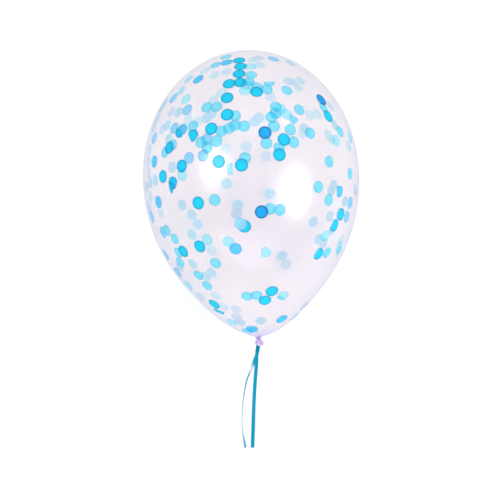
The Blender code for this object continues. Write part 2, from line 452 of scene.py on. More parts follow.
def distance(tree, vector, place):
    """The distance of a vector from a fixed place."""
    made = added(tree, "ShaderNodeVectorMath", {"operation": "DISTANCE"})
    tree.links.new(vector, made.inputs[0])
    made.inputs[1].default_value = place
    return made.outputs["Value"]


def kept_value(tree, name):
    """The value that a piece keeps on its points under a name."""
    return added(tree, "ShaderNodeAttribute", {"attribute_name": name}).outputs["Fac"]


def bumped(tree, shader, height, strength, depth):
    """Feed the shader's Normal from a Bump node."""
    bump = added(tree, "ShaderNodeBump", Height=height, Strength=strength, Distance=depth)
    tree.links.new(bump.outputs["Normal"], shader.inputs["Normal"])


# %% Shared group: fine grain
GRAIN_DETAIL = 3.0
GRAIN_LOW = 0.3
GRAIN_HIGH = 0.7

grain_group, given, out = new_group(
    "fine_grain",
    [("Place", "vector"), ("Scale", "value"), ("Low", "value"), ("High", "value")],
    [("Value", "value")],
)
grain = noise(grain_group, given["Place"], given["Scale"], GRAIN_DETAIL)
value = spread(grain_group, grain, GRAIN_LOW, GRAIN_HIGH, given["Low"], given["High"])
grain_group.links.new(value, out["Value"])
print("group", grain_group.name)

# %% Shared group: tissue paper
# The rim is read from the distance to the disc's middle in its UV, where the edge is at 0.5.
DISC_MIDDLE = (0.5, 0.5, 0)
FIBRE_SCALE = 900
FIBRE_DETAIL = 2.0
FIBRE_BEND = 2.5
CLOUD_SCALE = 160
CLOUD_DETAIL = 1.0
CLOUD_STRENGTH = 0.10
SHADE_STRENGTH = 0.10
# How far the painted shade where discs overlap goes towards the rim's colour.
OVERLAP_SHADE_STRENGTH = 0.30
RIM_STARTS = 0.345
RIM_FULL = 0.44
RIM_STRENGTH = 0.80

tissue_group, given, out = new_group(
    "tissue_fibres",
    [("Place", "vector"), ("Disc", "vector"), ("Shade", "value"), ("Overlap", "value"),
     ("Paper", "colour"), ("Rim", "colour")],
    [("Colour", "colour"), ("Height", "value")],
)
fibres = noise(tissue_group, given["Place"], FIBRE_SCALE, FIBRE_DETAIL, FIBRE_BEND)
clouds = noise(tissue_group, given["Place"], CLOUD_SCALE, CLOUD_DETAIL)
rim = spread(tissue_group, distance(tissue_group, given["Disc"], DISC_MIDDLE), RIM_STARTS, RIM_FULL)
patchy = counted(tissue_group, "MULTIPLY", clouds, CLOUD_STRENGTH)
shaded = counted(tissue_group, "MULTIPLY_ADD", given["Shade"], SHADE_STRENGTH, patchy)
colour = blended(tissue_group, shaded, given["Paper"], given["Rim"])
# Where other discs overlap, the colour moves towards the rim's: painted shade for the light two layers hold
# back.
overlap_shade = counted(tissue_group, "MULTIPLY", given["Overlap"], OVERLAP_SHADE_STRENGTH)
colour = blended(tissue_group, counted(tissue_group, "MINIMUM", overlap_shade, 1.0), colour, given["Rim"])
edge = counted(tissue_group, "MULTIPLY", rim, RIM_STRENGTH)
colour = blended(tissue_group, edge, colour, given["Rim"])
tissue_group.links.new(colour, out["Colour"])
tissue_group.links.new(fibres, out["Height"])
print("group", tissue_group.name)

# %% Shared group: lines along a drawn ribbon
STREAK_STRETCH = (60, 0.8, 1)
STREAK_DETAIL = 2.0
STREAK_STRENGTH = 0.6
WAVE_STRENGTH = 0.35
ROUGHNESS_LEAST = 0.14
ROUGHNESS_SPREAD = 0.25

lines_group, given, out = new_group(
    "drawn_lines",
    [("Along", "vector"), ("Lines", "value"), ("Light", "colour"), ("Dark", "colour")],
    [("Colour", "colour"), ("Height", "value"), ("Roughness", "value")],
)
split = added(lines_group, "ShaderNodeSeparateXYZ", Vector=given["Along"])
full_turns = counted(lines_group, "MULTIPLY", given["Lines"], 2 * math.pi)
turns = counted(lines_group, "MULTIPLY", split.outputs["X"], full_turns)
waves = counted(lines_group, "MULTIPLY_ADD", counted(lines_group, "COSINE", turns), 0.5, 0.5)
stretched = added(lines_group, "ShaderNodeMapping", Vector=given["Along"], Scale=STREAK_STRETCH)
streak = noise(lines_group, stretched.outputs["Vector"], 1.0, STREAK_DETAIL)
streak_part = counted(lines_group, "MULTIPLY", streak, STREAK_STRENGTH)
share = counted(lines_group, "MULTIPLY_ADD", waves, WAVE_STRENGTH, streak_part)
rough = counted(lines_group, "MULTIPLY_ADD", streak, ROUGHNESS_SPREAD, ROUGHNESS_LEAST)
lines_group.links.new(blended(lines_group, share, given["Light"], given["Dark"]), out["Colour"])
lines_group.links.new(counted(lines_group, "ADD", waves, streak), out["Height"])
lines_group.links.new(rough, out["Roughness"])
print("group", lines_group.name)

# %% Ribbon finish
RIDGES = 14
RIBBON_LIGHT = (0.0, 0.345, 0.51, 1)
RIBBON_DARK = (0.0, 0.22, 0.37, 1)
# A pale colour painted on the twisted tail: a painted glint for the bright room that the glossy plastic
# reflects.
RIBBON_PAINTED_GLINT = (0.72, 0.74, 0.80, 1)

ribbon_finish, shader, tree = plain_material("turquoise_ribbon_gloss", (0, 0.33, 0.52), 0.25)
where = added(tree, "ShaderNodeTexCoord").outputs
lines = placed(tree, lines_group, Along=where["UV"], Lines=RIDGES, Light=RIBBON_LIGHT, Dark=RIBBON_DARK)
# Pale where a point of the tail keeps a share of painted glint.
colour = blended(tree, kept_value(tree, "painted_glint"), lines["Colour"], RIBBON_PAINTED_GLINT)
tree.links.new(colour, shader.inputs["Base Color"])
tree.links.new(lines["Roughness"], shader.inputs["Roughness"])
bumped(tree, shader, lines["Height"], strength=0.25, depth=0.0001)
shader.inputs["IOR"].default_value = 1.15
shader.inputs["Coat Weight"].default_value = 0.06
shader.inputs["Coat Roughness"].default_value = 0.08
shader.inputs["Sheen Weight"].default_value = 0.25
shader.inputs["Sheen Roughness"].default_value = 0.35
shader.inputs["Sheen Tint"].default_value = (0.92, 0.90, 0.95, 1)

# %% Lilac latex of the neck and knot
LATEX_LIGHT = (0.80, 0.66, 0.90, 1)
LATEX_DARK = (0.63, 0.48, 0.76, 1)
# Painted shade: the latex is painted this dark where it lies deep in a fold.
LATEX_PAINTED_SHADE = (0.17, 0.11, 0.33, 1)

latex_finish, shader, tree = plain_material("lilac_latex", (0.56, 0.42, 0.72), 0.3)
where = added(tree, "ShaderNodeTexCoord").outputs
grain = placed(tree, grain_group, Place=where["Object"], Scale=700.0, Low=0.0, High=1.0)
cloud = placed(tree, grain_group, Place=where["Object"], Scale=220.0, Low=0.0, High=1.0)
rough = placed(tree, grain_group, Place=where["Object"], Scale=400.0, Low=0.2, High=0.4)
latex = blended(tree, cloud["Value"], LATEX_LIGHT, LATEX_DARK)
# Painted shade: darker where a point keeps that it lies deep in a fold.
latex = blended(tree, kept_value(tree, "fold"), latex, LATEX_PAINTED_SHADE)
tree.links.new(latex, shader.inputs["Base Color"])
tree.links.new(rough["Value"], shader.inputs["Roughness"])
bumped(tree, shader, grain["Value"], strength=0.25, depth=0.0002)
shader.inputs["Subsurface Weight"].default_value = 0.2
shader.inputs["Subsurface Scale"].default_value = 0.001

# %% Paper finishes
# Each paper has its colour, its rim's colour, the share that each face covers, and its discs' radius.
PAPERS = {
    "deep_blue": ((0.0, 0.50, 1.0), (0.0, 0.13, 0.38), 1.0, 0.0087),
    "azure": ((0.0, 0.76, 1.0), (0.0, 0.30, 0.66), 1.0, 0.0085),
    "cyan": ((0.0, 0.76, 0.98), (0.0, 0.37, 0.64), 1.0, 0.0086),
    "pale_blue": ((0.46, 0.82, 1.0), (0.26, 0.66, 0.90), 1.0, 0.0082),
    "sky_blue": ((0.0, 0.64, 1.0), (0.0, 0.40, 0.78), 0.62, 0.0083),
    "aqua": ((0.0, 0.78, 1.0), (0.0, 0.50, 0.76), 0.43, 0.0079),
    "periwinkle": ((0.0, 0.60, 1.0), (0.0, 0.42, 0.86), 0.38, 0.0081),
    "ice": ((0.0, 0.86, 1.0), (0.0, 0.62, 0.90), 0.27, 0.0081),
    # The last four papers are for the far wall only: copies of sky_blue, aqua, ice and periwinkle
    # with paler rims, most with lighter colours too.  That is painted light, for the far wall gets less
    # light.
    "bright_sky": ((0.0, 0.75, 1.0), (0.22, 0.80, 1.0), 0.62, 0.0085),
    "bright_aqua": ((0.0, 0.85, 1.0), (0.25, 0.90, 1.0), 0.71, 0.0085),
    "bright_ice": ((0.0, 0.84, 1.0), (0.25, 0.90, 1.0), 0.40, 0.0085),
    "lavender": ((0.06, 0.67, 1.0), (0.28, 0.78, 1.0), 0.40, 0.0085),
}


def paper_finish(name, paper, rim, cover):
    """Tissue paper with fibres, a rim of its own colour, and painted shade towards it where discs overlap.

    A disc has two faces, so where each covers a share c, 1 - (1 - c) squared of what lies behind is
    hidden.
    """
    material, shader, tree = plain_material(f"{name}_tissue", paper, 0.7)
    where = added(tree, "ShaderNodeTexCoord").outputs
    tissue = placed(tree, tissue_group, Place=where["Object"], Disc=where["UV"],
                    Shade=kept_value(tree, "shade"), Overlap=kept_value(tree, "overlap"),
                    Paper=(*paper, 1), Rim=(*rim, 1))
    tree.links.new(tissue["Colour"], shader.inputs["Base Color"])
    bumped(tree, shader, tissue["Height"], strength=0.4, depth=0.0001)
    shader.inputs["IOR"].default_value = 1.0
    shader.inputs["Transmission Weight"].default_value = 0.45
    shader.inputs["Alpha"].default_value = cover
    return material


paper_finishes = {name: paper_finish(name, *values[:3]) for name, values in PAPERS.items()}

# %% Film finishes
SHINE = 0.03
MIRROR_SHARE = 0.35
HAZE = 0.33
NECK_TINT_FULL = 0.004
NECK_TINT_ENDS = 0.036
MOTTLE_SCALE = 14.0
MOTTLE_STRENGTH = 0.15
RIM_LINE_POWER = 5.0
RIM_BAND_POWER = 2.0
RIM_BAND_STRENGTH = 0.12


def film_tint(tree, shader, clear, rim, neck):
    """Colour of the film: near clear where it is blown thin, and lilac where it gathers.

    Seen edge on, light has a longer way through the film, and the film is painted deeper towards
    its rim's colour there, a painted shade at its edge: with f from 0 where it faces the eye to 1
    edge on, the rim's colour has the share f ** LINE + STRENGTH * f ** BAND.
    """
    where = added(tree, "ShaderNodeTexCoord").outputs
    reach = distance(tree, where["Object"], laid_down((0, 0, -BODY_DROP)))
    near = spread(tree, reach, NECK_TINT_FULL, NECK_TINT_ENDS, 1.0, 0.0)
    mottle = placed(tree, grain_group, Place=where["Object"], Scale=MOTTLE_SCALE, Low=0.0,
                    High=MOTTLE_STRENGTH)
    # Painted shade at the film's edge, where it is seen edge on.
    edge = added(tree, "ShaderNodeLayerWeight", Blend=0.5).outputs["Facing"]
    line = counted(tree, "POWER", edge, RIM_LINE_POWER)
    band = counted(tree, "POWER", edge, RIM_BAND_POWER)
    edge = counted(tree, "MULTIPLY_ADD", band, RIM_BAND_STRENGTH, line)
    film = blended(tree, mottle["Value"], (*clear, 1), (*rim, 1))
    film = blended(tree, edge, film, (*rim, 1))
    film = blended(tree, near, film, (*neck, 1))
    tree.links.new(film, shader.inputs["Base Color"])


outer_finish, shader, tree = plain_material("clear_latex_gloss", (1, 1, 1), 0.15)
film_tint(tree, shader, (1.0, 0.98, 1.0), (0.60, 0.58, 0.70), (0.85, 0.80, 0.97))
shader.inputs["Metallic"].default_value = 1.0
shader.inputs["Alpha"].default_value = SHINE

inner_finish, shader, tree = plain_material("clear_latex_haze", (1, 1, 1), 0.22)
film_tint(tree, shader, (0.812, 0.713, 0.775), (0.24, 0.27, 0.50), (0.38, 0.38, 0.98))
shader.inputs["Metallic"].default_value = MIRROR_SHARE
shader.inputs["IOR"].default_value = 1.0
shader.inputs["Alpha"].default_value = HAZE
print("finishes", [m.name for m in bpy.data.materials])

# %% [markdown]
# ## Ribbon tails
# The ribbon is curling ribbon: a thin glossy plastic band, 5 mm wide, drawn over ridges so that fine
# lines run along it.  It is gathered into a fold where it is tied, and it opens flat within two
# centimetres.  A flat closed section is carried along each route.  One tail lies face up.  The other
# twists a third of the way down and shows its edge.  Where it twists, and along the middle of its
# edge-on run, its colour is painted pale: a painted glint, the bright room reflected in the plastic.

# %% Routes of the tails
RIBBON_WIDTH = 0.005
RIBBON_THICKNESS = 0.0003
GATHERED_SHARE = 0.5
GATHERED_LENGTH = 0.014
RIDGE_HEIGHT = 0.00002
RIDGE_FADE_POWER = 8
ACROSS_STEPS = 57
TAIL_STEP = 0.0012

# Each point of a route has its place, its turn in degrees and how much painted glint its colour takes there.
BROAD_ROUTE = (
    (-0.0040, -0.1924, 0.0764, 0, 0),
    (-0.0046, -0.1968, 0.0740, 0, 0),
    (-0.0051, -0.2038, 0.0687, 0, 0),
    (-0.0063, -0.2151, 0.0583, 0, 0),
    (-0.0089, -0.2304, 0.0416, 0, 0),
    (-0.0114, -0.2482, 0.0226, 0, 0),
    (-0.0135, -0.2675, 0.0085, 0, 0),
    (-0.0150, -0.2850, 0.0021, 0, 0),
    (-0.0161, -0.2980, 0.0007, 0, 0),
    (-0.0169, -0.3080, 0.0004, 0, 0),
    (-0.0175, -0.3163, 0.0004, 0, 0),
)
NARROW_ROUTE = (
    (-0.0009, -0.1926, 0.0776, 0, 0),
    (-0.0024, -0.1975, 0.0752, 0, 0),
    (-0.0055, -0.2041, 0.0698, 0, 0),
    (-0.0095, -0.2119, 0.0629, 0, 0),
    (-0.0120, -0.2158, 0.0593, 5, 0.7),
    (-0.0146, -0.2204, 0.0543, 35, 0.9),
    (-0.0172, -0.2244, 0.0500, 58, 0.0),
    (-0.0210, -0.2315, 0.0420, 62, 0.0),
    (-0.0249, -0.2434, 0.0290, 66, 0.25),
    (-0.0285, -0.2597, 0.0150, 70, 0.5),
    (-0.0303, -0.2775, 0.0061, 72, 0.7),
    (-0.0302, -0.2939, 0.0031, 70, 0.6),
    (-0.0287, -0.3067, 0.0026, 64, 0.2),
    (-0.0275, -0.3162, 0.0026, 60, 0.0),
)

# %% Shape of a tail
def ribbon_tail(name, route):
    """One tail of the ribbon: a thin ridged band carried along its route.

    With u from -1 to 1 across the band, its top lies at thickness / 2 + ridge * cos(pi ridges (u + 1)),
    faded out towards the edges, and its underside at -thickness / 2.  Near the tie the band folds into
    a trough: opened to a share w of its width, it rises by width / 2 * sqrt(1 - w * w) * (|u| - 1/2),
    so that its length across stays the same.
    """
    data = smooth_route(route, TAIL_STEP)
    path, turn, painted_glint, run = data[:, :3], np.radians(data[:, 3]), data[:, 4], data[:, 5]
    along = unit(np.gradient(path, axis=0))
    side = unit(np.cross(along, (0, 0, 1)))
    flat_up = np.cross(side, along)
    lean = flat_up * np.cos(turn)[:, None] + side * np.sin(turn)[:, None]
    u = np.linspace(-1, 1, ACROSS_STEPS)
    opened = GATHERED_SHARE + (1 - GATHERED_SHARE) * np.minimum(1, run / GATHERED_LENGTH)
    fold = np.sqrt(1 - opened**2)[:, None]
    trough = RIBBON_WIDTH / 2 * fold * (np.abs(u) - 0.5)
    width = RIBBON_WIDTH / 2 * opened[:, None] * u
    ridge = RIDGE_HEIGHT * np.cos(math.pi * RIDGES * (u + 1)) * (1 - np.abs(u) ** RIDGE_FADE_POWER)
    top = trough + RIBBON_THICKNESS / 2 + ridge
    under = trough - RIBBON_THICKNESS / 2
    across = np.concatenate((width, width[:, ::-1]), axis=1)
    away = np.concatenate((top, under[:, ::-1]), axis=1)
    rings = carried(path, lean, across, away)
    uv = grid_of(np.concatenate((u, u[::-1])) / 2 + 0.5, (run / RIBBON_WIDTH)[:, None])
    tail = new_piece(name, [closed_surface(rings, uv)], ribbon_finish)
    # How much painted glint each point of the tail takes.
    painted_glint = np.broadcast_to(np.clip(painted_glint, 0, 1)[:, None], rings.shape[:2])
    kept_on_points(tail, "painted_glint", skin_values(painted_glint))
    return tail, path, run[-1]


broad_tail, path, run = ribbon_tail("broad_ribbon_tail", BROAD_ROUTE)
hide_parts("ribbon_tail_broad")
print("broad tail", round(run, 4), "m")

narrow_tail, path, run = ribbon_tail("narrow_ribbon_tail", NARROW_ROUTE)
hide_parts("ribbon_tail_narrow")
print("narrow tail", round(run, 4), "m")

broad_tail.visible_shadow = narrow_tail.visible_shadow = False

# %% [markdown]
# ## Latex film
# The body is blown film.  It is a surface turned round the axis, so rows go down the outline and
# columns go round.  Where it lies, its own weight flattens it, and towards the knot it gathers in
# fine pleats.  Blown latex shines, and it is a little milky.  A Solidify step gives two skins for
# that: the outer one is a faint mirror, and the inner one is a thin haze.  The confetti lies between
# them, so a disc on the near side stays vivid.  A disc on the far side is seen through two layers of
# haze and looks pale, and that holds from every side.

# %% Shape of the film
FILM_COLUMNS = 144
FILM_ROWS_UP = 56
FILM_ROWS_DOWN = 84
FILM_WALL = 0.0012
FLAT_SOFTNESS = 0.0005
PLEATS = 14
PLEAT_HEIGHT = 0.00035
PLEAT_REACH = 0.022
PLEAT_ROOM = 0.006
CROWN_GAP = 0.0005
NECK_GAP = 0.0004
NECK_OFFSET = -0.0012
OFFSET_REACH = 0.02
NECK_ROWS = ((0.0042, -0.2211), (0.0034, -0.2218), (0.0030, -0.2230), (0.0028, -0.2240), (0.0020, -0.2246))


def settled_on_floor(points):
    """Points kept above the floor, with a soft edge: z becomes (z + sqrt(z * z + 4 s * s)) / 2."""
    points = np.array(points)
    z = points[..., 2]
    points[..., 2] = (z + np.sqrt(z**2 + 4 * FLAT_SOFTNESS**2)) / 2
    return points


def film_rings():
    """Own-frame rings of the film: the outline turned round the axis, with pleats near the knot.

    A pleat moves a point down by its height * w * (1 + cos(pleats * phi)), where w fades to 0 at the
    pleats' reach, and at the axis as well.  Close to the neck the rings shift aside to meet it.
    """
    radius, height = body_outline(FILM_ROWS_UP, FILM_ROWS_DOWN)
    neck = np.array(NECK_ROWS)
    keep = (radius > CROWN_GAP) & ((height > 0) | (radius > neck[0, 0] + NECK_GAP))
    radius = np.concatenate((radius[keep], neck[:, 0]))[:, None]
    height = np.concatenate((height[keep], neck[:, 1]))[:, None]
    phi = full_turn(FILM_COLUMNS)
    reach = np.hypot(radius, height + BODY_DROP)
    weight = np.clip(1 - reach / PLEAT_REACH, 0, 1) * np.clip(radius / PLEAT_ROOM, 0, 1)
    pleated = height - PLEAT_HEIGHT * weight * (1 + np.cos(PLEATS * phi))
    shift = NECK_OFFSET * np.clip(1 - radius / OFFSET_REACH, 0, 1) * (height < 0)
    return round_axis(radius, phi, pleated) + shift[..., None] * (1, 0, 0)


# %% Make the film
film_points, film_faces, film_uv = closed_surface(laid_down(film_rings()))
film = new_piece("latex_film", [(settled_on_floor(film_points), film_faces, film_uv)], outer_finish)
film.data.materials.append(inner_finish)
wall = film.modifiers.new("wall", "SOLIDIFY")
wall.thickness = FILM_WALL
wall.offset = -1
wall.material_offset = 1
film.visible_shadow = False
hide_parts("latex_balloon")

# %% [markdown]
# ## Knot in the neck
# Unstretched latex is thick and lilac.  Whoever blew the balloon pulled the neck long, wound it once
# round itself and tucked its rolled lip through, so the lip points out of the knot.  Three closed
# skins make it: the pleated neck, the turn wound round it, and the tail with its flare and lip.
# Everything is drawn in the balloon's own frame, standing up, and laid down at the end.  Each skin
# keeps how deep in a fold its points are, and its finish paints the latex darker there: painted shade.

# %% Helpers for the knot
KNOT_DROP = 0.0045
KNOT_CENTRE = np.array((NECK_OFFSET, 0, -BODY_DROP - KNOT_DROP))
KNOT_COLUMNS = 72

phi = full_turn(KNOT_COLUMNS)[None]


def finer(outline, rows):
    """Radius and height of a short outline at more rows, on a smooth curve through its points."""
    length = np.linalg.norm(np.diff(np.array(outline), axis=0), axis=1).sum()
    radius, height, _ = smooth_route(outline, length / rows).T
    return radius[:, None], height[:, None]


def ripple(height, count, phase):
    """Waves round a section: height * cos(count * angle + phase)."""
    return height * np.cos(count * phi + phase)


# This share is painted on the latex as painted shade in its folds.
def painted_fold_shade(crease, starts, gain, most):
    """How deep in a fold points are: (starts - crease) * gain, kept between 0 and most.

    crease is the share of its radius that a point is moved to.
    """
    return np.clip((starts - crease) * gain, 0, most)


# %% The pleated neck
NECK_PLEATS = 9
NECK_PLEAT_SHARE = 0.07
NECK_OVAL_SHARE = 0.03
NECK_OVAL_TWIST = -3
NECK_TWIST = math.radians(50)
NECK_LENGTH = 0.005
NECK_STEPS = 26
PINCH_HEIGHT = 0.0032
PINCH_LENGTH = 0.0011
PINCH_TURN = -0.10
PINCH_SPREAD = 0.45
# How dark the painted shade in the pinch under the knot is.
PINCH_PAINTED_SHADE = 1.1
NECK_OUTLINE = (
    (0.0030, 0.0046), (0.0045, 0.0046), (0.0047, 0.0042), (0.0043, 0.0037), (0.0036, 0.0030),
    (0.0034, 0.0026), (0.0037, 0.0020), (0.0041, 0.0013), (0.0039, 0.0004), (0.0028, -0.0006),
)

radius, height = finer(NECK_OUTLINE, NECK_STEPS)
twist = NECK_TWIST * height / NECK_LENGTH
crease = 1 + ripple(NECK_PLEAT_SHARE, NECK_PLEATS, twist)
crease = crease + ripple(NECK_OVAL_SHARE, 2, NECK_OVAL_TWIST * twist)
pleated = radius * crease
neck_skin = closed_surface(laid_down(KNOT_CENTRE + round_axis(pleated, phi, height)))
# A spot of painted shade in the pinch under the knot, and painted shade in the pleats' valleys.
pinch_turn = (phi - PINCH_TURN + math.pi) % (2 * math.pi) - math.pi
pinch = np.exp(-((height - PINCH_HEIGHT) / PINCH_LENGTH) ** 2 - (pinch_turn / PINCH_SPREAD) ** 2)
neck_painted_shade = skin_values(PINCH_PAINTED_SHADE * pinch + painted_fold_shade(crease, starts=1, gain=4, most=0.5))
print("neck rows", len(radius))

# %% The turn wound round the neck
TURN_CENTRE = KNOT_CENTRE + np.array((-0.0010, 0, -0.0034))
TURN_RADIUS = 0.0024
TURN_HALF_THICKNESS = 0.0023
TURN_TILT = math.radians(-24)
TURN_START = math.radians(140)
TURN_RISE = 0.0020
TURN_OVERRUN = 0.13
TURN_ROWS = 90
TUCK_LENGTH = 0.16
TUCK_POWER = 0.7
TUCKED_RADIUS_SHARE = 0.35
TUCKED_THICKNESS_SHARE = 0.45
OPEN_THICKNESS_SHARE = 0.95
TURN_WIDENING = 1.15
TURN_FLATTENING = 0.95
WIDE_CREASES = 3
WIDE_CREASE_SHARE = 0.07
WIDE_CREASE_WINDS = 7
FINE_CREASES = 7
FINE_CREASE_SHARE = 0.05
FINE_CREASE_WINDS = -5

t = np.linspace(-TURN_OVERRUN, 1 + TURN_OVERRUN, TURN_ROWS)[:, None]
angle = 2 * math.pi * t + TURN_START
tucked = np.clip(np.minimum(t + TURN_OVERRUN, 1 + TURN_OVERRUN - t) / TUCK_LENGTH, 0, 1) ** TUCK_POWER
tilted_x = np.array((math.cos(TURN_TILT), 0, -math.sin(TURN_TILT)))
tilted_z = np.array((math.sin(TURN_TILT), 0, math.cos(TURN_TILT)))
outward = np.cos(angle) * tilted_x + np.sin(angle) * np.array((0, 1, 0))
turn_radius = TURN_RADIUS * (TUCKED_RADIUS_SHARE + (1 - TUCKED_RADIUS_SHARE) * tucked)
path = TURN_CENTRE + outward * turn_radius + (0.5 - t) * TURN_RISE * tilted_z
crease = 1 + ripple(WIDE_CREASE_SHARE, WIDE_CREASES, WIDE_CREASE_WINDS * t)
crease = crease + ripple(FINE_CREASE_SHARE, FINE_CREASES, FINE_CREASE_WINDS * t)
opening = TUCKED_THICKNESS_SHARE + (OPEN_THICKNESS_SHARE - TUCKED_THICKNESS_SHARE) * tucked
thick = TURN_HALF_THICKNESS * opening * crease
turn_skin = closed_surface(laid_down(
    carried(path, outward, thick * np.cos(phi) * TURN_WIDENING, thick * np.sin(phi) * TURN_FLATTENING)
))
turn_painted_shade = skin_values(painted_fold_shade(crease, starts=1.02, gain=5, most=1))
print("turn", TURN_ROWS, "rows")

# %% The tail and its rolled lip
TAIL_DIRECTION = unit(np.array((0.25, -0.88, -0.40)))
TAIL_TIE = 0.0063
TAIL_END = 0.0092
TAIL_STEPS = 89
LIP_RING = 0.0037
LIP_ROLL = 0.0009
LIP_TURNS = np.radians(np.linspace(70, -215, 16))
LIP_STARTS = 0.0022
LIP_GROWS = 0.0020
# Waves round the tail and its lip, each with its height, its count and its phase.  The first three
# have their heights as shares of the radius, and the last moves points along the tail.
TAIL_PLEATS = (0.06, 7, 0.8)
LIP_OVAL = (0.05, 2, 0.6)
LIP_RIPPLES = (0.025, 5, 2.0)
LIP_WAVES = (0.0003, 3, 1.0)

lip_outline = [(LIP_RING + LIP_ROLL * math.cos(a), TAIL_END - LIP_ROLL * math.sin(a)) for a in LIP_TURNS]
tail_outline = [
    (0.0017, 0.0004), (0.0024, 0.0022), (0.0023, 0.0042), (0.0021, 0.0056), (0.0019, TAIL_TIE),
    (0.0022, 0.0071), (0.0028, 0.0077), (0.0036, 0.0082), *lip_outline,
    (0.0024, 0.0088), (0.0018, 0.0080), (0.0012, 0.0070),
]
radius, reach = finer(tail_outline, TAIL_STEPS)
near_lip = np.clip((radius - LIP_STARTS) / LIP_GROWS, 0, 1)
crease = 1 + (1 - near_lip) * ripple(*TAIL_PLEATS) + near_lip * (ripple(*LIP_OVAL) + ripple(*LIP_RIPPLES))
reach = reach + near_lip * ripple(*LIP_WAVES)
aside = unit(np.cross(TAIL_DIRECTION, (0, 0, 1)))
square = np.cross(aside, TAIL_DIRECTION)
sideways = np.cos(phi)[..., None] * aside + np.sin(phi)[..., None] * square
tail_points = (radius * crease)[..., None] * sideways + reach[..., None] * TAIL_DIRECTION
tail_skin = closed_surface(laid_down(KNOT_CENTRE + tail_points))
tail_painted_shade = skin_values(painted_fold_shade(crease, starts=0.99, gain=9, most=0.6))
print("tail rows", len(radius))

# %% Make the knot
knot = new_piece("knotted_neck", [neck_skin, turn_skin, tail_skin], latex_finish)
# Painted shade in the folds, kept on the knot's points.
kept_on_points(knot, "fold", np.concatenate((neck_painted_shade, turn_painted_shade, tail_painted_shade)))
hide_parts("latex_balloon")

# %% [markdown]
# ## Ribbon tie
# The ribbon is squeezed into a cord where it goes twice round the tail of the latex.  It is drawn to
# one side there and knotted on itself.  The windings are a screw line round the tail, pulled out
# towards the knot on that side.  The small knot is a trefoil, the same crossing that an overhand knot
# has: (sin t + 2 sin 2t, sin 3t, cos t - 2 cos 2t), pressed a little flat.

# %% Windings round the tail
WINDING_RADIUS = 0.0024
WINDINGS = 2.3
WINDING_PITCH = 0.0010
WINDING_ROWS = 150
PULL_POWER = 3
UV_LENGTH = 8
STRAND_RADIUS = 0.0004
STRAND_COLUMNS = 20
STRAND_RIBS = 6
STRAND_RIB_SHARE = 0.10
STRAND_DEPTH_SHARE = 1.15
RIBBON_KNOT_PLACE = (-0.0026, -0.1921, 0.0768)

theta = full_turn(STRAND_COLUMNS)[None]
ribbed = 1 + STRAND_RIB_SHARE * np.cos(STRAND_RIBS * theta)
strand_across = ribbed * np.cos(theta)
strand_away = ribbed * np.sin(theta)
uv_across = (1 - np.cos(theta)) / 2
tie_centre = KNOT_CENTRE + TAIL_DIRECTION * TAIL_TIE
knot_centre = stood_up(RIBBON_KNOT_PLACE)
toward_knot = knot_centre - tie_centre

t = np.linspace(0, 1, WINDING_ROWS)[:, None]
angle = 2 * math.pi * WINDINGS * t
outward = np.cos(angle) * aside + np.sin(angle) * square
toward_side = unit(toward_knot - TAIL_DIRECTION * (toward_knot @ TAIL_DIRECTION))
facing = np.clip(outward @ toward_side, 0, 1)[:, None]
pulled = toward_knot * (1 - WINDING_RADIUS / np.linalg.norm(toward_knot)) * facing**PULL_POWER
path = tie_centre + TAIL_DIRECTION * (t - 0.5) * WINDING_PITCH + outward * WINDING_RADIUS + pulled
winding_skin = closed_surface(laid_down(carried(
    path, outward, STRAND_RADIUS * strand_across, STRAND_RADIUS * strand_away * STRAND_DEPTH_SHARE
)), grid_of(uv_across, t * UV_LENGTH))
print("windings", WINDINGS)

# %% Small knot and the whole tie
TREFOIL_SCALE = 0.00078
TREFOIL_HEIGHT = 0.5
KNOT_STRAND = 0.00075
KNOT_DEPTH_SHARE = 0.8
KNOT_ROWS = 120

t = full_turn(KNOT_ROWS)
trefoil = np.column_stack((
    np.sin(t) + 2 * np.sin(2 * t), np.sin(3 * t), TREFOIL_HEIGHT * (np.cos(t) - 2 * np.cos(2 * t))
))
knot_skin = closed_surface(laid_down(carried(
    knot_centre + TREFOIL_SCALE * trefoil, unit(trefoil), KNOT_STRAND * strand_across,
    KNOT_STRAND * strand_away * KNOT_DEPTH_SHARE, ring_of_rows=True
)), grid_of(uv_across, t[:, None]), ring_of_rows=True)

tie = new_piece("ribbon_windings", [winding_skin, knot_skin], ribbon_finish)
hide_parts("ribbon_tie")
